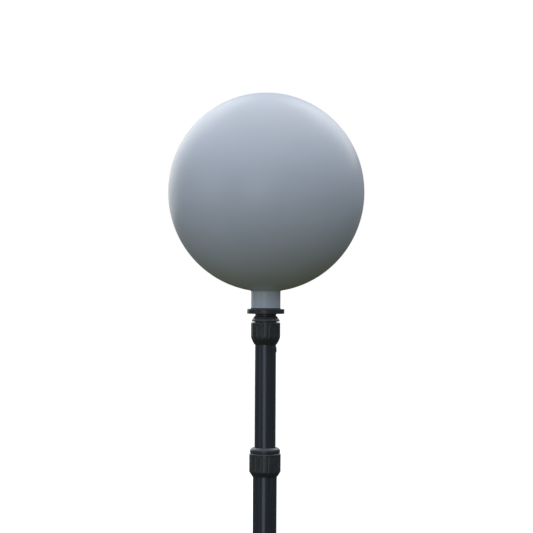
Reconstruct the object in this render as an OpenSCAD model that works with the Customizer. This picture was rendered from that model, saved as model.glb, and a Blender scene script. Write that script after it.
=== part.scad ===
// Hollow ball on a three-section telescoping pole with two twist locks.
// The origin is at the bottom of the foot boot, on the pole's axis, and +Z is up.

/* [Ball] */
// Width of the ball
ball_w = 204.5; // [160:0.5:240]
// Height of the ball, a little more than its width
ball_h = 207.5; // [160:0.5:240]
// Wall of the moulded ball and its neck
ball_wall = 2.2; // [1.8:0.1:3]
// Outside diameter of the neck
neck_d = 30.8; // [30:0.1:36]
// Length of the neck below the ball
neck_l = 17; // [17:0.1:24]

/* [Head adapter] */
// Diameter of the flange that the neck sits on
flange_d = 39; // [36:0.2:50]
// Thickness of the flange
flange_t = 5; // [3:0.5:8]
// Thickness of the gasket between the neck and the flange
gasket_t = 0.8; // [0.5:0.1:2]
// Length of the barrel that shows below the flange
barrel_l = 2.2; // [2:0.1:12]

/* [Pole] */
// Outside diameter of the lower tube; each section above it is 3 mm thinner
lower_tube_d = 25; // [25:1:32]
// Length of the lower tube
lower_tube_l = 300; // [290:5:600]
// Length of the upper tube
upper_tube_l = 280; // [270:5:290]
// Length of the inner tube
inner_tube_l = 220; // [150:5:240]
// How far the upper tube stands out between the two locks
upper_reach = 107.4; // [60:0.1:108]

/* [Upper lock] */
// Diameter of the grip
upper_grip_d = 30.5; // [30:0.1:33]
// Height of the nut
upper_nut_h = 23; // [23:0.1:28]
// Height of the tapered foot of the nut
upper_taper_h = 8.6; // [5:0.1:10]
// Shape of the taper: 1 is a straight cone and 2 a round shoulder
upper_taper_round = 1.5; // [1:0.1:2]
// Height of the cap above the gap over the nut
upper_cap_h = 5.7; // [4.5:0.1:7]
// Height of the straight rim of the cap
upper_rim_h = 1; // [0.5:0.1:2.5]
// Width of the flat lip round the tube at the top of the cap
upper_lip_w = 1.5; // [0.4:0.1:2]
// Shape of the crown: 1 is a cone and 2 a round dome
upper_crown = 1.2; // [1:0.1:2.5]

/* [Lower lock] */
// Diameter of the grip
lower_grip_d = 32.8; // [32.4:0.1:36]
// Height of the nut
lower_nut_h = 23.9; // [23:0.1:28]
// Height of the tapered foot of the nut
lower_taper_h = 5.4; // [5:0.1:10]
// Shape of the taper: 1 is a straight cone and 2 a round shoulder
lower_taper_round = 1.1; // [1:0.1:2]
// Height of the cap above the gap over the nut
lower_cap_h = 5.3; // [4.5:0.1:7]
// Height of the straight rim of the cap
lower_rim_h = 2; // [0.5:0.1:2.5]
// Width of the flat lip round the tube at the top of the cap
lower_lip_w = 0.5; // [0.4:0.1:2]
// Shape of the crown: 1 is a cone and 2 a round dome
lower_crown = 2; // [1:0.1:2.5]

/* [Grips] */
// Number of grip ribs round each nut
rib_count = 16; // [8:1:20]

/* [Foot] */
// Length of the boot that goes into a ground socket
boot_l = 52; // [30:1:80]
// Diameter of the boot
boot_d = 28; // [28:0.5:34]

/* [Hidden] */
$fn = 96;

// Tubes
tube_wall = 1;
section_step = 3;
lower_r = lower_tube_d / 2;
upper_r = lower_r - section_step / 2;
inner_r = upper_r - section_step / 2;

// Radial gaps
slide_gap = 0.3;
run_gap = 0.15;
nut_lip_gap = 0.2;
guide_gap = 0.1;

// One lock, measured up from the bottom edge of its nut
nut_floor = 4;
base_foot = 4.2;
tube_seat = 13;
base_top = 14.5;
collet_foot = 14.6;
collet_top = 21;
wedge_foot = 15.2;
wedge_top = 20.5;
cap_gap = 1;
skirt_l = 1.2;
bead_h = 0.9;
base_wall = 1.5;
pin_level = 8.5;
pin_r = 1;
key_w = 3;
key_gap = 0.2;
key_foot = 12.9;
key_wall = 0.9;

// Heights of the main planes, from the ground up
boot_floor = 4;
stop_gap = 0.2;
lower_tube_z = boot_floor;
lower_lock_z = lower_tube_z + lower_tube_l - tube_seat;
lower_lock_top = lower_lock_z + lower_nut_h + cap_gap + lower_cap_h;
upper_lock_z = lower_lock_top + upper_reach;
upper_lock_top = upper_lock_z + upper_nut_h + cap_gap + upper_cap_h;
upper_tube_z = upper_lock_z + tube_seat - upper_tube_l;
barrel_z = upper_lock_top + stop_gap;
flange_z = barrel_z + barrel_l;
flange_top = flange_z + flange_t;
neck_foot = flange_top + gasket_t;
ball_z = neck_foot + neck_l + ball_h / 2;

// Head adapter
neck_bore_r = neck_d / 2 - ball_wall;
spigot_r = neck_bore_r - run_gap;
spigot_h = 16.5;
socket_top = 13.5;
cross_pin_r = 2;
cross_pin_level = 5;
seal_r = 0.9;
seal_level = 10.5;
seal_squeeze_gap = 0.03;
inner_tube_z = flange_top + socket_top - inner_tube_l;
rolled_r = inner_r - 3.5;

// Guide bushes
bush_head_h = 10;
bush_plug_h = 12;
bush_wall = 1.4;

// Stop rivet
rivet_drop = 5.3;
rivet_head_r = 3.1;
rivet_head_h = 0.6;
rivet_shank_r = 1.6;

plastic_black = [0.10, 0.11, 0.12];
tube_black = [0.16, 0.17, 0.20];
ball_grey = [0.66, 0.70, 0.76];
acetal_white = [0.85, 0.85, 0.82];
steel = [0.62, 0.63, 0.65];
rubber_dark = [0.07, 0.08, 0.12];

module ring(outer, inner, h) {
    difference() {
        cylinder(r = outer, h = h);
        translate([0, 0, -1]) cylinder(r = inner, h = h + 2);
    }
}

module tube(outer, length) {
    ring(outer, outer - tube_wall, length);
}

// A radial hole or pin along +X and, if both is set, along -X too
module radial(r, from, to, both) {
    for (side = both ? [0, 180] : [0])
        rotate([0, 0, side]) translate([from, 0, 0]) rotate([0, 90, 0]) cylinder(r = r, h = to - from);
}

// ---- Ball and head ----

module ball() {
    color(ball_grey)
        difference() {
            union() {
                translate([0, 0, ball_z]) scale([1, 1, ball_h / ball_w]) sphere(d = ball_w);
                translate([0, 0, neck_foot]) cylinder(d = neck_d, h = neck_l + ball_h / 4);
            }
            translate([0, 0, ball_z])
                scale([1, 1, (ball_h - 2 * ball_wall) / (ball_w - 2 * ball_wall)])
                    sphere(d = ball_w - 2 * ball_wall);
            translate([0, 0, neck_foot - 1]) cylinder(r = neck_bore_r, h = ball_h / 2);
        }
}

module neck_gasket() {
    color(rubber_dark)
        translate([0, 0, flange_top]) ring(neck_d / 2 + 0.2, spigot_r + run_gap, gasket_t);
}

module spigot_seal() {
    color(rubber_dark)
        translate([0, 0, flange_top + seal_level])
            rotate_extrude()
                translate([neck_bore_r - seal_squeeze_gap - seal_r, 0]) circle(r = seal_r);
}

module head_adapter() {
    groove_r = neck_bore_r - 2 * seal_r - 0.1;
    color(plastic_black)
        difference() {
            union() {
                translate([0, 0, barrel_z]) cylinder(r = upper_r, h = barrel_l + 1);
                translate([0, 0, flange_z]) cylinder(d = flange_d, h = flange_t);
                translate([0, 0, flange_z]) cylinder(r = spigot_r, h = flange_t + spigot_h);
            }
            translate([0, 0, barrel_z - 1]) cylinder(r = inner_r, h = flange_top + socket_top - barrel_z + 1);
            translate([0, 0, flange_top + seal_level - seal_r - 0.1])
                ring(spigot_r + 1, groove_r, 2 * seal_r + 0.2);
            translate([0, 0, flange_top + cross_pin_level]) radial(cross_pin_r, inner_r - 1, spigot_r + 1, true);
        }
}

module adapter_pin() {
    color(steel)
        translate([-spigot_r + 0.2, 0, flange_top + cross_pin_level])
            rotate([0, 90, 0]) cylinder(r = cross_pin_r, h = 2 * (spigot_r - 0.2));
}

// The top end is rolled inwards
module inner_tube() {
    color(tube_black)
        difference() {
            union() {
                translate([0, 0, inner_tube_z]) tube(inner_r, inner_tube_l);
                translate([0, 0, inner_tube_z + inner_tube_l - tube_wall])
                    ring(inner_r - tube_wall / 2, rolled_r, tube_wall);
            }
            translate([0, 0, flange_top + cross_pin_level])
                radial(cross_pin_r, inner_r - tube_wall - 1, inner_r + 1, true);
        }
}

// Plastic slide plugged into the bottom of a tube of radius r, whose end is at height z
module guide_bush(r, z) {
    plug_r = r - tube_wall - guide_gap;
    head_r = r + section_step / 2 - tube_wall - guide_gap;
    color(acetal_white)
        difference() {
            union() {
                translate([0, 0, z - bush_head_h - stop_gap]) cylinder(r = head_r, h = bush_head_h);
                translate([0, 0, z - stop_gap - 1]) cylinder(r = plug_r, h = bush_plug_h + 1);
            }
            translate([0, 0, z - bush_head_h - 1])
                cylinder(r = plug_r - bush_wall, h = bush_head_h + bush_plug_h + 2);
        }
}

module inner_guide_bush() { guide_bush(inner_r, inner_tube_z); }
module upper_guide_bush() { guide_bush(upper_r, upper_tube_z); }

// ---- Twist lock on the end of a tube of radius r, with its nut's bottom edge at z ----

function nut_bore(r) = r + base_wall + run_gap;
function grip_bore(r) = r - section_step / 2 + slide_gap;
function collet_low_r(r) = r + 0.5;
function collet_high_r(r) = r - 0.1;

// Ferrule fixed round the tube's end, with two slots for the wedge's keys
module lock_base(r, z) {
    color(plastic_black)
        translate([0, 0, z])
            difference() {
                translate([0, 0, base_foot]) cylinder(r = r + base_wall, h = base_top - base_foot);
                translate([0, 0, base_foot - 1]) cylinder(r = r, h = tube_seat - base_foot + 1);
                cylinder(r = grip_bore(r), h = base_top + 1);
                for (side = [-1, 1])
                    translate([-key_w / 2 - key_gap, side * (r + 2) - 1.6, key_foot - 0.4])
                        cube([key_w + 2 * key_gap, 3.2, base_top]);
                translate([0, 0, pin_level]) radial(pin_r, r - 1, r + base_wall + 1, true);
            }
}

module lock_pins(r, z) {
    color(steel)
        translate([0, 0, z + pin_level]) radial(pin_r, r - tube_wall + 0.05, r + base_wall - 0.05, true);
}

// Split ring, thicker at the bottom, that grips the sliding tube
module lock_collet(r, z) {
    slit = 1.6;
    color(acetal_white)
        translate([0, 0, z + collet_foot])
            difference() {
                cylinder(r1 = collet_low_r(r), r2 = collet_high_r(r), h = collet_top - collet_foot);
                translate([0, 0, -1]) cylinder(r = grip_bore(r), h = collet_top);
                translate([0, -slit / 2, -1]) cube([r + 2, slit, collet_top]);
            }
}

// Cone ring that the nut's thread draws down over the collet; its keys stop it turning
module lock_wedge(r, z) {
    slope = (collet_high_r(r) - collet_low_r(r)) / (collet_top - collet_foot);
    low_r = collet_low_r(r) + slope * (wedge_foot - 1 - collet_foot) + run_gap;
    high_r = collet_low_r(r) + slope * (wedge_top + 1 - collet_foot) + run_gap;
    outer_r = r + base_wall;
    color(acetal_white)
        translate([0, 0, z])
            union() {
                difference() {
                    translate([0, 0, wedge_foot]) cylinder(r = outer_r, h = wedge_top - wedge_foot);
                    translate([0, 0, wedge_foot - 1])
                        cylinder(r1 = low_r, r2 = high_r, h = wedge_top - wedge_foot + 2);
                }
                intersection() {
                    translate([0, 0, key_foot]) ring(outer_r, outer_r - key_wall, wedge_foot + 1 - key_foot);
                    translate([-key_w / 2, -r * 2, key_foot]) cube([key_w, r * 4, wedge_top - key_foot]);
                }
            }
}

// Fluted grip with a tapered foot, open at the top for the cap
module lock_nut(r, z, grip_d, h, taper_h, taper_round) {
    grip_r = grip_d / 2;
    edge = 0.7;
    foot_r = r + 0.6;
    taper_steps = 5;
    flute_r = 1.5;
    flute_depth = 0.5;
    flute_foot = taper_h * 0.3;
    flute_top = 1.6;
    taper = [
        for (t = [0 : 1 / taper_steps : 1])
            [foot_r + (grip_r - foot_r) * (1 - pow(1 - t, taper_round)), taper_h * t]
    ];
    color(plastic_black)
        translate([0, 0, z])
            difference() {
                rotate_extrude()
                    polygon(concat(
                        [[r + nut_lip_gap, 0]], taper,
                        [
                            [grip_r, h - edge], [grip_r - edge, h],
                            [nut_bore(r), h], [nut_bore(r), nut_floor], [r + nut_lip_gap, nut_floor]
                        ]
                    ));
                for (i = [0 : rib_count - 1])
                    rotate([0, 0, (i + 0.5) * 360 / rib_count])
                        translate([grip_r + flute_r - flute_depth, 0, flute_foot])
                            cylinder(r = flute_r, h = h - flute_top - flute_foot, $fn = 24);
            }
}

// Crowned ring that closes the nut. Its narrow waist leaves a gap over the nut, and the bead on
// its skirt snaps into the nut's mouth.
module lock_cap(r, z, grip_d, h, cap_h, rim_h, lip_w, crown) {
    rim_r = grip_d / 2 - 0.65;
    waist_r = r + 0.5;
    lip_r = grip_bore(r) + lip_w;
    crown_h = cap_h - rim_h;
    crown_step = 15;
    bead_top = bead_h - skirt_l;
    color(plastic_black)
        translate([0, 0, z + h])
            rotate_extrude()
                polygon(concat(
                    [
                        [grip_bore(r), bead_top + 0.6], [r + 0.6, -skirt_l],
                        [nut_bore(r), -skirt_l], [nut_bore(r), bead_top], [waist_r, bead_top],
                        [waist_r, cap_gap], [rim_r, cap_gap]
                    ],
                    [
                        for (a = [0 : crown_step : 90])
                            [
                                lip_r + (rim_r - lip_r) * pow(cos(a), 2 / crown),
                                cap_gap + rim_h + crown_h * pow(sin(a), 2 / crown)
                            ]
                    ],
                    [[grip_bore(r), cap_gap + cap_h]]
                ));
}

module upper_lock_base() { lock_base(upper_r, upper_lock_z); }
module upper_lock_pins() { lock_pins(upper_r, upper_lock_z); }
module upper_lock_collet() { lock_collet(upper_r, upper_lock_z); }
module upper_lock_wedge() { lock_wedge(upper_r, upper_lock_z); }
module upper_lock_nut() {
    lock_nut(upper_r, upper_lock_z, upper_grip_d, upper_nut_h, upper_taper_h, upper_taper_round);
}
module upper_lock_cap() {
    lock_cap(upper_r, upper_lock_z, upper_grip_d, upper_nut_h,
        upper_cap_h, upper_rim_h, upper_lip_w, upper_crown);
}

module lower_lock_base() { lock_base(lower_r, lower_lock_z); }
module lower_lock_pins() { lock_pins(lower_r, lower_lock_z); }
module lower_lock_collet() { lock_collet(lower_r, lower_lock_z); }
module lower_lock_wedge() { lock_wedge(lower_r, lower_lock_z); }
module lower_lock_nut() {
    lock_nut(lower_r, lower_lock_z, lower_grip_d, lower_nut_h, lower_taper_h, lower_taper_round);
}
module lower_lock_cap() {
    lock_cap(lower_r, lower_lock_z, lower_grip_d, lower_nut_h,
        lower_cap_h, lower_rim_h, lower_lip_w, lower_crown);
}

// ---- Tubes ----

module upper_tube() {
    color(tube_black)
        difference() {
            translate([0, 0, upper_tube_z]) tube(upper_r, upper_tube_l);
            translate([0, 0, upper_lock_z + pin_level]) radial(pin_r, upper_r - tube_wall - 1, upper_r + 1, true);
            translate([0, 0, upper_lock_z - rivet_drop])
                radial(rivet_shank_r, upper_r - tube_wall - 1, upper_r + 1, false);
        }
}

// Low-headed rivet that keeps the loosened nut from dropping down the tube
module stop_rivet() {
    sunk = 1;
    color(plastic_black)
        translate([0, 0, upper_lock_z - rivet_drop])
            union() {
                radial(rivet_shank_r, upper_r - tube_wall + 0.05, upper_r + 0.2, false);
                difference() {
                    translate([upper_r - sunk, 0, 0])
                        rotate([0, 90, 0])
                            rotate_extrude()
                                polygon([
                                    [0, 0], [rivet_head_r, 0], [rivet_head_r, sunk + rivet_head_h / 3],
                                    [rivet_head_r * 0.7, sunk + rivet_head_h], [0, sunk + rivet_head_h]
                                ]);
                    translate([0, 0, -rivet_head_r - 1]) cylinder(r = upper_r, h = 2 * rivet_head_r + 2);
                }
            }
}

module lower_tube() {
    color(tube_black)
        difference() {
            translate([0, 0, lower_tube_z]) tube(lower_r, lower_tube_l);
            translate([0, 0, lower_lock_z + pin_level]) radial(pin_r, lower_r - tube_wall - 1, lower_r + 1, true);
        }
}

// Closed boot over the bottom of the lower tube
module foot_boot() {
    edge = 1.5;
    color(plastic_black)
        difference() {
            rotate_extrude()
                polygon([
                    [0, 0], [boot_d / 2 - edge, 0], [boot_d / 2, edge],
                    [boot_d / 2, boot_l - edge / 2], [boot_d / 2 - edge / 2, boot_l], [0, boot_l]
                ]);
            translate([0, 0, boot_floor]) cylinder(r = lower_r, h = boot_l);
        }
}

ball();
neck_gasket();
spigot_seal();
head_adapter();
adapter_pin();
inner_tube();
inner_guide_bush();
upper_lock_cap();
upper_lock_nut();
upper_lock_wedge();
upper_lock_collet();
upper_lock_base();
upper_lock_pins();
stop_rivet();
upper_tube();
upper_guide_bush();
lower_lock_cap();
lower_lock_nut();
lower_lock_wedge();
lower_lock_collet();
lower_lock_base();
lower_lock_pins();
lower_tube();
foot_boot();
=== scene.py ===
"""Looks, light and camera for a hollow ball on a telescoping pole with two twist locks.

Every outside piece, the inner tube and the spigot's seal are made again here as fine meshes with
rounded edges, in place of their plain CAD nodes. The rest keep their CAD meshes and get finished
materials.
"""
import math
from collections import namedtuple

import bmesh
import bpy
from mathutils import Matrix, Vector


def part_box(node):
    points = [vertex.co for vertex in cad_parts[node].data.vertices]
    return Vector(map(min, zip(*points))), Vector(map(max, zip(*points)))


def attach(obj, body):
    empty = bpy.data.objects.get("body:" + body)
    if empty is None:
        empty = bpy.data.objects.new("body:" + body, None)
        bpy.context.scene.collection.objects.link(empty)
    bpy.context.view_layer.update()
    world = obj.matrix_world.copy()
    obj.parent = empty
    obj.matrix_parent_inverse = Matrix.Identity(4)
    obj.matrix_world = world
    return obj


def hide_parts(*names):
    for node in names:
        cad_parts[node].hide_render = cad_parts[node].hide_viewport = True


MM = 0.001

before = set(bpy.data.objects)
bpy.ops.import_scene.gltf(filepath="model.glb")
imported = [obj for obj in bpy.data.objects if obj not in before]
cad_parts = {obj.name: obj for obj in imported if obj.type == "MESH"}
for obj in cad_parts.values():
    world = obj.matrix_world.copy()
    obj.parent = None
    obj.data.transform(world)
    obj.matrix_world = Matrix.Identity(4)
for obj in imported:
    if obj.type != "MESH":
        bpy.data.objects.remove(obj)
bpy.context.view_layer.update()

# ---- Sizes in millimetres that the frame's boxes don't give ----

BALL_WALL = 2.2
BALL_STRETCH = 207.5 / 204.5    # height over width
NECK_R = 15.4
NECK_BORE_R = NECK_R - BALL_WALL
TUBE_WALL = 1.0
BARREL_R = 11.0
BARREL_L = 2.2
FLANGE_T = 5.0
SPIGOT_R = NECK_BORE_R - 0.15
SOCKET_R = 9.5
SOCKET_DEPTH = 13.5
SEAL_GROOVE_Z = (9.5, 11.5)     # above the flange
SEAL_GROOVE_R = NECK_BORE_R - 1.9

# Outward from the radius of the tube that carries the lock
NUT_LIP_GAP = 0.2
NUT_FOOT = 0.6
NUT_BORE = 1.65
WAIST = 0.5
GRIP_BORE = -1.2

NUT_FLOOR = 4.0
RIBS = 16
FLUTE_R = 1.5
FLUTE_DEPTH = 0.5
FLUTE_TOP = 1.6
CAP_GAP = 1.0
SKIRT_L = 1.2
BEAD_H = 0.9

# taper_round and crown are the exponents of the nut's taper and of the cap's crown
Lock = namedtuple("Lock", "nut cap tube body taper_h taper_round rim_h lip_w crown")
UPPER = Lock("upper_lock_nut", "upper_lock_cap", "upper_tube", "upper_lock", 8.6, 1.5, 1.0, 1.5, 1.2)
LOWER = Lock("lower_lock_nut", "lower_lock_cap", "lower_tube", "lower_lock", 5.4, 1.1, 2.0, 0.5, 2.0)


def box_mm(node):
    """Half width, lowest and highest level of a round node on the pole's axis, in millimetres."""
    low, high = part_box(node)
    return (high.x - low.x) / 2 / MM, low.z / MM, high.z / MM


# ---- Outlines ----

def rounded(corners, steps=5):
    """Closed outline of (r, z, rounding, wear) corners. Returns (r, z, edge) points, where edge is
    how exposed a rounded corner is, from 0 to 1."""
    out = []
    for i, (r, z, radius, wear) in enumerate(corners):
        here = Vector((r, z))
        if radius == 0:
            out.append((r, z, 0.0))
            continue
        before = Vector(corners[i - 1][:2]) - here
        after = Vector(corners[(i + 1) % len(corners)][:2]) - here
        angle = before.angle(after)
        cut = radius / math.tan(angle / 2)
        u, v = before.normalized(), after.normalized()
        centre = here + (u + v).normalized() * radius / math.sin(angle / 2)
        start, end = here + u * cut - centre, here + v * cut - centre
        turn = start.angle_signed(end)
        hold = min(0.3 * radius, 0.4)    # a point just past each end keeps the shading crisp
        out.append((*(here + u * (cut + hold)), 0.0))
        for k in range(steps + 1):
            a = -turn * k / steps
            p = centre + Vector((start.x * math.cos(a) - start.y * math.sin(a),
                                 start.x * math.sin(a) + start.y * math.cos(a)))
            out.append((p.x, p.y, wear * math.sin(math.pi * (k + 0.5) / (steps + 1))))
        out.append((*(here + v * (cut + hold)), 0.0))
    return out


def divided(outline, longest, closed=True):
    """The same outline with no stretch longer than longest."""
    out = []
    last = len(outline) if closed else len(outline) - 1
    for i in range(last):
        a, b = outline[i], outline[(i + 1) % len(outline)]
        out.append(a)
        pieces = math.ceil(math.hypot(b[0] - a[0], b[1] - a[1]) / longest)
        for k in range(1, pieces):
            t = k / pieces
            out.append(tuple(p + (q - p) * t for p, q in zip(a, b)))
    if not closed:
        out.append(outline[-1])
    return out


def blank(name):
    """An empty piece, with a mesh in the making whose points carry an edge value."""
    mesh = bpy.data.meshes.new(name)
    piece = bpy.data.objects.new(name, mesh)
    bpy.context.scene.collection.objects.link(piece)
    work = bmesh.new()
    return piece, work, work.verts.layers.float.new("edge")


def finish_piece(piece, work, body, nodes, slot):
    """Turns the mesh in the making into the piece's own. The slot also names the material."""
    bmesh.ops.recalc_face_normals(work, faces=work.faces)
    for face in work.faces:
        face.smooth = True
    work.to_mesh(piece.data)
    work.free()
    piece.data.materials.append(MATERIALS[slot])
    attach(piece, body)
    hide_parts(*nodes)


def turned(name, outline, body, nodes, slot, around=160, closed=True, cut=None):
    """Turns an outline round the pole's axis into a smooth mesh that rides on a body and stands for
    CAD nodes. cut(r, z, angle) may return a smaller radius and an edge value."""
    on_axis = 1e-6
    piece, work, edge = blank(name)
    rings = []
    for r, z, worn in outline:
        count = 1 if r < on_axis else around
        ring = []
        for k in range(count):
            angle = 2 * math.pi * k / around
            radius, mark = cut(r, z, angle) if cut else (r, 0.0)
            vert = work.verts.new((radius * math.cos(angle) * MM, radius * math.sin(angle) * MM, z * MM))
            vert[edge] = max(worn, mark)
            ring.append(vert)
        rings.append(ring)
    pairs = list(zip(rings, rings[1:]))
    if closed:
        pairs.append((rings[-1], rings[0]))
    for low, high in pairs:
        for k in range(around):
            after = k + 1
            corners = [low[k % len(low)], low[after % len(low)],
                       high[after % len(high)], high[k % len(high)]]
            face = list(dict.fromkeys(corners))
            if len(face) > 2:
                work.faces.new(face)
    finish_piece(piece, work, body, nodes, slot)


# ---- Materials ----

def fresh(name, color, roughness, metallic=0.0):
    """A new Principled material with its constant values set on the shader."""
    mat = bpy.data.materials.new(name)
    mat.use_nodes = True
    shader = mat.node_tree.nodes["Principled BSDF"]
    shader.inputs["Base Color"].default_value = (*color, 1)
    shader.inputs["Roughness"].default_value = roughness
    shader.inputs["Metallic"].default_value = metallic
    return mat, shader


def add(mat, kind, **values):
    """A node of the given kind, with its inputs and settings filled in by name."""
    node = mat.node_tree.nodes.new(kind)
    for key, value in values.items():
        socket = key.replace("_", " ").title()
        if socket in node.inputs:
            node.inputs[socket].default_value = value
        else:
            setattr(node, key, value)
    return node


def join(mat, source, target):
    """Links a socket that gives a value to one that takes it."""
    mat.node_tree.links.new(source, target)


def grain(mat, scale, detail=3.0, stretch=(1, 1, 1), roughness=0.5):
    """Noise over the piece's own coordinates, in features per metre, stretched along an axis."""
    place = add(mat, "ShaderNodeTexCoord")
    mapping = add(mat, "ShaderNodeMapping")
    mapping.inputs["Scale"].default_value = stretch
    tex = add(mat, "ShaderNodeTexNoise", scale=scale, detail=detail, roughness=roughness)
    join(mat, place.outputs["Object"], mapping.inputs["Vector"])
    join(mat, mapping.outputs["Vector"], tex.inputs["Vector"])
    return tex.outputs["Fac"]


def ranged(mat, source, low, high, to_low, to_high):
    """Maps source from low..high to to_low..to_high."""
    node = add(mat, "ShaderNodeMapRange")
    for key, value in (("From Min", low), ("From Max", high), ("To Min", to_low), ("To Max", to_high)):
        node.inputs[key].default_value = value
    join(mat, source, node.inputs["Value"])
    return node.outputs["Result"]


def maths(mat, operation, a, b):
    """a and b may each be a socket or a number."""
    node = add(mat, "ShaderNodeMath", operation=operation)
    for socket, value in zip(node.inputs, (a, b)):
        if isinstance(value, (int, float)):
            socket.default_value = value
        else:
            join(mat, value, socket)
    return node.outputs[0]


def tinted(mat, source, low_color, high_color, low=0.35, high=0.65):
    """A colour that goes from one to the other as source rises."""
    ramp = add(mat, "ShaderNodeValToRGB")
    ramp.color_ramp.elements[0].position = low
    ramp.color_ramp.elements[1].position = high
    ramp.color_ramp.elements[0].color = (*low_color, 1)
    ramp.color_ramp.elements[1].color = (*high_color, 1)
    join(mat, source, ramp.inputs["Fac"])
    return ramp.outputs["Color"]


def blended(mat, factor, a, b):
    """Mix of two colours; each may be a socket or a colour."""
    node = add(mat, "ShaderNodeMix", data_type="RGBA")
    join(mat, factor, node.inputs["Factor"])
    color_a, color_b = 6, 7
    for socket, value in ((node.inputs[color_a], a), (node.inputs[color_b], b)):
        if isinstance(value, tuple):
            socket.default_value = (*value, 1)
        else:
            join(mat, value, socket)
    return node.outputs[2]


def bumped(mat, shader, layers):
    """Stacks bump layers of (height socket, depth in metres)."""
    previous = None
    for height, depth in layers:
        bump = add(mat, "ShaderNodeBump", strength=1.0, distance=depth)
        join(mat, height, bump.inputs["Height"])
        if previous is not None:
            join(mat, previous, bump.inputs["Normal"])
        previous = bump.outputs["Normal"]
    join(mat, previous, shader.inputs["Normal"])


def worn_edges(mat, patch_scale=420):
    """Broken wear along the exposed edges, from the edge values in the mesh."""
    edge = add(mat, "ShaderNodeAttribute", attribute_name="edge")
    patches = ranged(mat, grain(mat, patch_scale, 4), 0.42, 0.62, 0, 1)
    return maths(mat, "MULTIPLY", edge.outputs["Fac"], patches)


def painted_top_highlight(mat, color, amount):
    """Paler, patchy colour on faces that look up: a painted highlight, standing in for the sky's sheen on
    the crowns and other upper faces.
    """
    shape = add(mat, "ShaderNodeNewGeometry")
    split = add(mat, "ShaderNodeSeparateXYZ")
    join(mat, shape.outputs["Normal"], split.inputs[0])
    highlight_share = ranged(mat, split.outputs["Z"], 0.15, 0.85, 0, amount)
    highlight_share = maths(mat, "MULTIPLY", highlight_share, ranged(mat, grain(mat, 320, 4), 0.25, 0.7, 0.7, 1))
    # the pale grey here is the colour of the painted highlight
    return blended(mat, highlight_share, color, (0.15, 0.155, 0.165))


def ball_plastic():
    """Pale blue-grey moulded plastic: satin, a little uneven, with faint scuffs and dust."""
    mat, shader = fresh("ball_plastic", (0.60, 0.66, 0.75), 0.36)
    broad = grain(mat, 9, 2)
    color = tinted(mat, broad, (0.585, 0.645, 0.735), (0.62, 0.675, 0.76))
    scuffs = ranged(mat, grain(mat, 60, 6, (1, 1, 5)), 0.66, 0.74, 0, 0.16)
    color = blended(mat, scuffs, color, (0.72, 0.75, 0.80))
    join(mat, color, shader.inputs["Base Color"])
    haze = ranged(mat, grain(mat, 26, 5), 0.3, 0.7, 0.33, 0.41)
    join(mat, maths(mat, "ADD", haze, scuffs), shader.inputs["Roughness"])
    bumped(mat, shader, [(grain(mat, 17, 1), 0.00030), (grain(mat, 1300, 2), 0.000012)])
    return mat


def black_plastic():
    """Black moulded plastic with a fine spark-eroded texture, rubbed paler along its edges, and painted
    paler on faces that look up as a highlight.
    """
    mat, shader = fresh("black_plastic", (0.034, 0.036, 0.042), 0.36)
    mottle = grain(mat, 160, 4)
    color = tinted(mat, mottle, (0.029, 0.031, 0.036), (0.038, 0.041, 0.048))
    worn = worn_edges(mat)
    color = blended(mat, worn, color, (0.13, 0.135, 0.145))
    # painted highlight: faces that look up are mixed towards pale grey, in place of the sky's reflection
    color = painted_top_highlight(mat, color, 0.8)
    join(mat, color, shader.inputs["Base Color"])
    rough = ranged(mat, mottle, 0.3, 0.7, 0.29, 0.41)
    polish = maths(mat, "MULTIPLY", worn, 0.12)
    join(mat, maths(mat, "SUBTRACT", rough, polish), shader.inputs["Roughness"])
    bumped(mat, shader, [(grain(mat, 2600, 2), 0.000035)])
    return mat


def black_tube():
    """Satin black anodised tube: fine lines drawn along it, and rub marks where it slides."""
    mat, shader = fresh("black_tube", (0.050, 0.056, 0.070), 0.27, 0.5)
    lines = grain(mat, 900, 3, (1, 1, 0.012))
    rubs = ranged(mat, grain(mat, 420, 3, (1, 1, 0.02)), 0.60, 0.72, 0, 0.5)
    breaks = ranged(mat, grain(mat, 30, 3), 0.45, 0.65, 0, 1)
    rubs = maths(mat, "MULTIPLY", rubs, breaks)
    color = tinted(mat, lines, (0.044, 0.050, 0.064), (0.060, 0.067, 0.083))
    color = blended(mat, rubs, color, (0.12, 0.13, 0.15))
    color = blended(mat, worn_edges(mat), color, (0.42, 0.43, 0.45))
    join(mat, color, shader.inputs["Base Color"])
    join(mat, ranged(mat, lines, 0.3, 0.7, 0.23, 0.33), shader.inputs["Roughness"])
    bumped(mat, shader, [(lines, 0.000010), (grain(mat, 2200, 2), 0.000006)])
    return mat


def acetal():
    """Natural white bearing plastic with turning marks and grey rub."""
    mat, shader = fresh("acetal", (0.78, 0.78, 0.74), 0.4)
    rings = grain(mat, 40, 2, (1, 1, 60))
    rub = ranged(mat, grain(mat, 220, 4), 0.52, 0.72, 0, 0.35)
    color = tinted(mat, grain(mat, 90, 3), (0.74, 0.74, 0.70), (0.82, 0.82, 0.79))
    join(mat, blended(mat, rub, color, (0.45, 0.45, 0.44)), shader.inputs["Base Color"])
    join(mat, ranged(mat, rings, 0.3, 0.7, 0.34, 0.48), shader.inputs["Roughness"])
    bumped(mat, shader, [(rings, 0.00002)])
    return mat


def pin_steel():
    """Plain ground steel pins."""
    mat, shader = fresh("pin_steel", (0.55, 0.56, 0.58), 0.3, 1.0)
    lines = grain(mat, 700, 3, (0.05, 1, 1))
    join(mat, tinted(mat, lines, (0.48, 0.49, 0.51), (0.62, 0.63, 0.65)), shader.inputs["Base Color"])
    join(mat, ranged(mat, lines, 0.3, 0.7, 0.24, 0.38), shader.inputs["Roughness"])
    bumped(mat, shader, [(lines, 0.000012)])
    return mat


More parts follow.
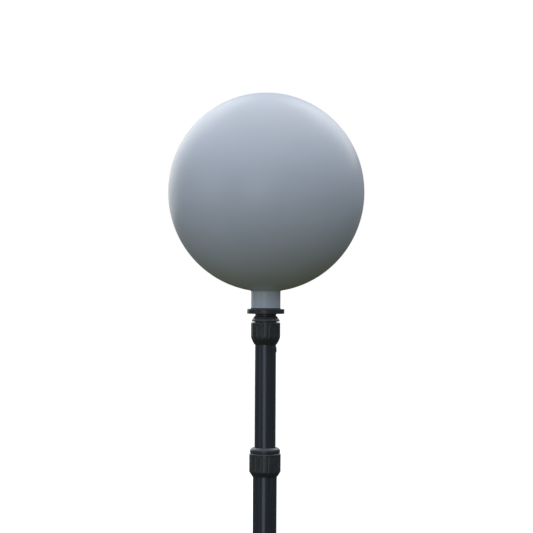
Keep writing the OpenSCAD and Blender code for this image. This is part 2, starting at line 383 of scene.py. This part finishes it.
def black_rubber():
    """Moulded black rubber with a dull bloom."""
    mat, shader = fresh("black_rubber", (0.018, 0.020, 0.028), 0.7)
    bloom = ranged(mat, grain(mat, 240, 5), 0.45, 0.7, 0, 0.5)
    color = blended(mat, bloom, (0.016, 0.018, 0.026), (0.05, 0.052, 0.06))
    join(mat, color, shader.inputs["Base Color"])
    join(mat, ranged(mat, bloom, 0, 0.5, 0.6, 0.8), shader.inputs["Roughness"])
    bumped(mat, shader, [(grain(mat, 1800, 2), 0.00003)])
    return mat


MATERIALS = {make.__name__: make() for make in
             (ball_plastic, black_plastic, black_tube, acetal, pin_steel, black_rubber)}


# ---- Ball and head ----

def ball():
    """One moulded shell: a ball a little taller than wide, with its neck and bore."""
    half_w, foot, top = box_mm("ball")
    half_h = half_w * BALL_STRETCH
    middle = top - half_h

    def arc(shrink, from_r, to_r, steps, down):
        """Points on the shell, between two radii: down from the top, or up from below."""
        a, b = half_w - shrink, half_h - shrink
        start, end = math.asin(from_r / a), math.asin(to_r / a)
        if down:
            end = math.pi - end
        else:
            start = math.pi - start
        return [(a * math.sin(t), middle + b * math.cos(t), 0.0)
                for t in (start + (end - start) * k / steps for k in range(steps + 1))]

    fillet = 1.4
    flare_r = NECK_R + 2.5
    outside = arc(0, 0, flare_r, steps=110, down=True)
    inside = arc(BALL_WALL, NECK_BORE_R, 0, steps=60, down=False)
    junction = middle - half_h * math.sqrt(1 - (NECK_R / half_w) ** 2)
    neck = rounded([
        (flare_r, outside[-1][1], 0, 0), (NECK_R, junction, fillet, 0),
        (NECK_R, foot, 0.5, 0), (NECK_BORE_R, foot, 0.4, 0), (NECK_BORE_R, inside[0][1], 0, 0),
    ])
    outline = divided(outside[:-1] + neck[:-1] + inside, longest=4.0, closed=False)
    turned("moulded_ball", outline, "ball_top", ["ball"], "ball_plastic", around=192, closed=False)


def neck_gasket():
    """Flat ring between the neck's foot and the flange."""
    r, low, high = box_mm("neck_gasket")
    outline = rounded([
        (NECK_BORE_R, low, 0.2, 0), (r, low, 0.3, 0), (r, high, 0.3, 0), (NECK_BORE_R, high, 0.2, 0),
    ])
    turned("gasket_ring", outline, "inner_pole", ["neck_gasket"], "black_rubber")


def spigot_seal():
    """O-ring in the spigot's groove."""
    r, low, high = box_mm("spigot_seal")
    ring_r = (high - low) / 2
    steps = 24
    outline = [(r - ring_r + ring_r * math.cos(t), (low + high) / 2 + ring_r * math.sin(t), 0.0)
               for t in (2 * math.pi * k / steps for k in range(steps))]
    turned("seal_ring", outline, "inner_pole", ["spigot_seal"], "black_rubber")


def head_adapter():
    """Barrel, flange and grooved spigot, all one moulding, with a blind socket for the inner tube."""
    flange_r, low, high = box_mm("head_adapter")
    flange = low + BARREL_L
    top = flange + FLANGE_T
    groove_low, groove_high = (top + level for level in SEAL_GROOVE_Z)
    outline = rounded([
        (0, top + SOCKET_DEPTH, 0, 0), (SOCKET_R, top + SOCKET_DEPTH, 0.4, 0),
        (SOCKET_R, low, 0.3, 0), (BARREL_R, low, 0.3, 0.6),
        (BARREL_R, flange, 0.8, 0), (flange_r, flange, 0.7, 1), (flange_r, top, 0.7, 1),
        (SPIGOT_R, top, 0.3, 0), (SPIGOT_R, groove_low, 0.15, 0.4),
        (SEAL_GROOVE_R, groove_low, 0.2, 0), (SEAL_GROOVE_R, groove_high, 0.2, 0),
        (SPIGOT_R, groove_high, 0.15, 0.4), (SPIGOT_R, high, 0.9, 0.6), (0, high, 0, 0),
    ])
    outline = divided(outline, longest=3.0, closed=False)
    turned("head_flange", outline, "inner_pole", ["head_adapter"], "black_plastic", closed=False)


# ---- Twist locks ----

def lock_nut(lock):
    """Grip with broad flat ribs between narrow flutes, and a tapered foot that just clears the tube."""
    tube_r = box_mm(lock.tube)[0]
    grip_r, low, high = box_mm(lock.nut)
    bore_r = tube_r + NUT_BORE
    lip_r = tube_r + NUT_LIP_GAP
    foot_r = tube_r + NUT_FOOT
    centre_r = grip_r + FLUTE_R - FLUTE_DEPTH
    pitch = 2 * math.pi / RIBS
    flute_end = high - FLUTE_TOP
    run_out = 1.3
    edge_blend = 0.22
    edge_wear = 0.7
    skin_r = bore_r + 0.5

    def flutes(r, z, angle):
        """Sinks the outside along each flute, and fades it out below the grip's top."""
        off = (angle / pitch) % 1 - 0.5
        across = centre_r * math.sin(off * pitch)
        if r < skin_r or abs(across) >= FLUTE_R:
            return r, 0.0
        flute_r = centre_r * math.cos(off * pitch) - math.sqrt(FLUTE_R ** 2 - across ** 2)
        fade = min(1.0, max(0.0, (flute_end - z) / run_out))
        flute_r = grip_r - (grip_r - flute_r) * fade * (2 - fade)
        near = max(edge_blend - abs(flute_r - r), 0.0) / edge_blend
        return min(r, flute_r) - near ** 2 * edge_blend / 4 * fade, edge_wear * near * fade

    taper_steps = 14
    taper = [(foot_r + (grip_r - foot_r) * (1 - (1 - t) ** lock.taper_round),
              low + lock.taper_h * t, 0, 0)
             for t in (k / taper_steps for k in range(1, taper_steps))]
    outline = rounded([
        (lip_r, low, 0.12, 0), (foot_r, low, 0.15, 0.5), *taper, (grip_r, low + lock.taper_h, 0.5, 0.4),
        (grip_r, high, 0.7, 1), (bore_r, high, 0.25, 0), (bore_r, low + NUT_FLOOR, 0.3, 0),
        (lip_r, low + NUT_FLOOR, 0.2, 0),
    ])
    points_per_rib = 24
    outline = divided(outline, longest=0.8)
    turned(lock.nut + "_grip", outline, lock.body, [lock.nut], "black_plastic",
           around=RIBS * points_per_rib, cut=flutes)


def lock_cap(lock):
    """Crowned ring over the nut; its narrow waist leaves a dark gap above the grip."""
    tube_r = box_mm(lock.tube)[0]
    rim_r, low, high = box_mm(lock.cap)
    bore_r = tube_r + GRIP_BORE
    lip_r = bore_r + lock.lip_w
    snap_r = tube_r + NUT_BORE
    waist_r = tube_r + WAIST
    lead_in = 0.6
    rim_foot = low + SKIRT_L + CAP_GAP
    crown_foot = rim_foot + lock.rim_h
    crown_steps = 16
    crown = [(lip_r + (rim_r - lip_r) * math.cos(a) ** (2 / lock.crown),
              crown_foot + (high - crown_foot) * math.sin(a) ** (2 / lock.crown), 0, 0)
             for a in (math.pi / 2 * k / crown_steps for k in range(crown_steps))]
    outline = rounded([
        (bore_r, low + BEAD_H + lead_in, 0.2, 0), (tube_r + lead_in, low, 0.15, 0), (snap_r, low, 0.2, 0),
        (snap_r, low + BEAD_H, 0.2, 0), (waist_r, low + BEAD_H, 0.1, 0), (waist_r, rim_foot, 0.15, 0),
        (rim_r, rim_foot, 0.3, 1), *crown, (lip_r, high, 0, 0), (bore_r, high, 0.2, 0.5),
    ])
    outline = divided(outline, longest=1.0)
    turned(lock.cap + "_crown", outline, lock.body, [lock.cap], "black_plastic")


def stop_rivet():
    """Low domed rivet head on the +X side of the upper tube, seated on the tube's curve."""
    low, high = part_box("stop_rivet")
    centre_z = (low.z + high.z) / 2
    head_r = (high.z - low.z) / 2
    tube_r = box_mm("upper_tube")[0] * MM
    proud = high.x - tube_r
    inset = proud * 0.02
    around, rings = 48, 14
    underside = [(0.5, -0.9), (1.0, -0.6)]
    side_round, top_round, rim_wear = 0.45, 1.2, 0.5
    piece, work, edge = blank("rivet_head")

    def loop(r, height, worn):
        """A ring of points at a height that is 0 on the tube's skin and 1 at the crown."""
        ring = []
        for k in range(around):
            angle = 2 * math.pi * k / around
            y, z = r * math.cos(angle), r * math.sin(angle)
            seat = math.sqrt(tube_r ** 2 - y ** 2)
            vert = work.verts.new((seat * (1 - height) + high.x * height - inset, y, centre_z + z))
            vert[edge] = worn
            ring.append(vert)
        return ring

    loops = [loop(head_r * share, height, 0) for share, height in underside]
    for k in range(rings):
        t = math.pi / 2 * k / rings
        loops.append(loop(head_r * math.cos(t) ** side_round, math.sin(t) ** top_round,
                          rim_wear * math.cos(t)))
    for a, b in zip(loops, loops[1:]):
        for k in range(around):
            work.faces.new([a[k], a[(k + 1) % around], b[(k + 1) % around], b[k]])
    work.faces.new(loops[0])
    work.faces.new(loops[-1])
    finish_piece(piece, work, "upper_pole", ["stop_rivet"], "black_plastic")


# ---- Tubes and foot ----

def pole_tube(node, body, name):
    """Drawn tube with broken edges at both ends."""
    r, low, high = box_mm(node)
    bore = r - TUBE_WALL
    outline = rounded([
        (bore, low, 0.2, 0.4), (r, low, 0.25, 1), (r, high, 0.25, 1), (bore, high, 0.2, 0.4),
    ], steps=3)
    turned(name, divided(outline, longest=12.0), body, [node], "black_tube")


def foot_boot():
    """Closed boot with a chamfered sole and a rolled upper lip."""
    r, low, high = box_mm("foot_boot")
    tube_r, tube_end, _ = box_mm("lower_tube")
    lip, sole = 0.75, 1.5
    outline = rounded([
        (0, tube_end, 0, 0), (tube_r, tube_end, 0.3, 0), (tube_r, high, 0.3, 0), (r - lip, high, 0.4, 0.6),
        (r, high - lip, 0.6, 0.8), (r, low + sole, 1.0, 1), (r - sole, low, 1.0, 1), (0, low, 0, 0),
    ])
    outline = divided(outline, longest=4.0, closed=False)
    turned("boot", outline, "lower_pole", ["foot_boot"], "black_plastic", closed=False)


ball()
neck_gasket()
spigot_seal()
head_adapter()
for lock in (UPPER, LOWER):
    lock_nut(lock)
    lock_cap(lock)
stop_rivet()
pole_tube("inner_tube", "inner_pole", "inner_section")
pole_tube("upper_tube", "upper_pole", "upper_section")
pole_tube("lower_tube", "lower_pole", "lower_section")
foot_boot()

KEPT = {
    "acetal": ["inner_guide_bush", "upper_guide_bush", "upper_lock_wedge", "upper_lock_collet",
               "lower_lock_wedge", "lower_lock_collet"],
    "black_plastic": ["upper_lock_base", "lower_lock_base"],
    "pin_steel": ["adapter_pin", "upper_lock_pins", "lower_lock_pins"],
}
for material_name, nodes in KEPT.items():
    for node in nodes:
        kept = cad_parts[node]
        kept.data.materials.clear()
        kept.data.materials.append(MATERIALS[material_name])


# ---- Floor, light and camera ----

def floor():
    """Wide pale floor, lit a little from within so that it fades into the background."""
    mesh = bpy.data.meshes.new("floor")
    half = 40.0
    corners = [(-half, -half, 0), (half, -half, 0), (half, half, 0), (-half, half, 0)]
    mesh.from_pydata(corners, [], [(0, 1, 2, 3)])
    piece = bpy.data.objects.new("floor", mesh)
    bpy.context.scene.collection.objects.link(piece)
    mat, shader = fresh("pale_floor", (0.86, 0.86, 0.86), 0.9)
    shader.inputs["Specular IOR Level"].default_value = 0.1
    shader.inputs["Emission Color"].default_value = (1, 1, 1, 1)
    shader.inputs["Emission Strength"].default_value = 0.42
    mesh.materials.append(mat)
    piece.visible_diffuse = False
    piece.visible_glossy = False


def surround():
    """White to the camera; to the object, a soft overcast room that is bright above and dark below."""
    world = bpy.data.worlds.new("surround")
    bpy.context.scene.world = world
    world.use_nodes = True
    tree = world.node_tree
    tree.nodes.clear()
    place = tree.nodes.new("ShaderNodeTexCoord")
    split = tree.nodes.new("ShaderNodeSeparateXYZ")
    lift = tree.nodes.new("ShaderNodeMapRange")
    lift.inputs["From Min"].default_value = -1
    ramp = tree.nodes.new("ShaderNodeValToRGB")
    stops = [
        (-1.00, (0.056, 0.052, 0.016)),
        (-0.15, (0.082, 0.090, 0.062)),
        (0.02, (0.140, 0.157, 0.147)),
        (0.25, (0.22, 0.25, 0.28)),
        (0.60, (0.69, 0.79, 0.98)),
        (1.00, (1.30, 1.22, 1.08)),
    ]
    elements = ramp.color_ramp.elements
    while len(elements) < len(stops):
        elements.new(0.5)
    for element, (height, color) in zip(elements, stops):
        element.position = (height + 1) / 2
        element.color = (*color, 1)
    light = tree.nodes.new("ShaderNodeBackground")
    seen = tree.nodes.new("ShaderNodeBackground")
    seen.inputs["Color"].default_value = (1, 1, 1, 1)
    path = tree.nodes.new("ShaderNodeLightPath")
    mix = tree.nodes.new("ShaderNodeMixShader")
    out = tree.nodes.new("ShaderNodeOutputWorld")
    tree.links.new(place.outputs["Generated"], split.inputs[0])
    tree.links.new(split.outputs["Z"], lift.inputs["Value"])
    tree.links.new(lift.outputs["Result"], ramp.inputs["Fac"])
    tree.links.new(ramp.outputs["Color"], light.inputs["Color"])
    tree.links.new(path.outputs["Is Camera Ray"], mix.inputs["Fac"])
    tree.links.new(light.outputs[0], mix.inputs[1])
    tree.links.new(seen.outputs[0], mix.inputs[2])
    tree.links.new(mix.outputs[0], out.inputs["Surface"])


def softbox(name, place, target, size, power, color):
    """Area light at place, turned towards target; the camera doesn't see it."""
    data = bpy.data.lights.new(name, "AREA")
    data.shape = "RECTANGLE"
    data.size, data.size_y = size
    data.energy = power
    data.color = color
    lamp = bpy.data.objects.new(name, data)
    bpy.context.scene.collection.objects.link(lamp)
    lamp.location = place
    lamp.rotation_mode = "QUATERNION"
    lamp.rotation_quaternion = (Vector(target) - Vector(place)).to_track_quat("-Z", "Y")
    lamp.visible_camera = False


def lights():
    """Two lights behind, one low in front on the left, and a faint one far out on the left."""
    ball_low, ball_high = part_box("ball")
    aim = (0, 0, ball_high.z - (ball_high.x - ball_low.x) / 2)
    softbox("back_left", (-1.15, 1.8, 1.45), aim, (1.6, 2.4), 18, (1.0, 0.97, 0.92))
    softbox("back_right", (1.2, 1.8, 2.0), aim, (1.6, 1.8), 13, (1.0, 0.98, 0.94))
    softbox("front_left", (-0.52, -2.5, 0.42), aim, (1.15, 1.9), 10.5, (0.92, 0.95, 1.0))
    softbox("left_wall", (-2.4, -1.2, 0.9), aim, (1.6, 1.6), 3.6, (0.88, 0.93, 1.0))


def camera():
    """Long lens, level with a point low on the ball, and tipped by a hair."""
    distance = 2.085
    horizon_below_ball = 0.0773
    aside = 0.0006
    tip = math.radians(-0.29)
    ball_low, ball_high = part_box("ball")
    ball_middle = ball_high.z - (ball_high.x - ball_low.x) / 2 * BALL_STRETCH
    data = bpy.data.cameras.new("camera")
    data.sensor_width = 36
    data.lens = 135
    lens_object = bpy.data.objects.new("camera", data)
    bpy.context.scene.collection.objects.link(lens_object)
    lens_object.location = (aside, -distance, ball_middle - horizon_below_ball)
    lens_object.rotation_euler = (math.pi / 2, tip, 0)
    bpy.context.scene.camera = lens_object


floor()
surround()
lights()
camera()
bpy.context.scene.view_settings.view_transform = "Standard"
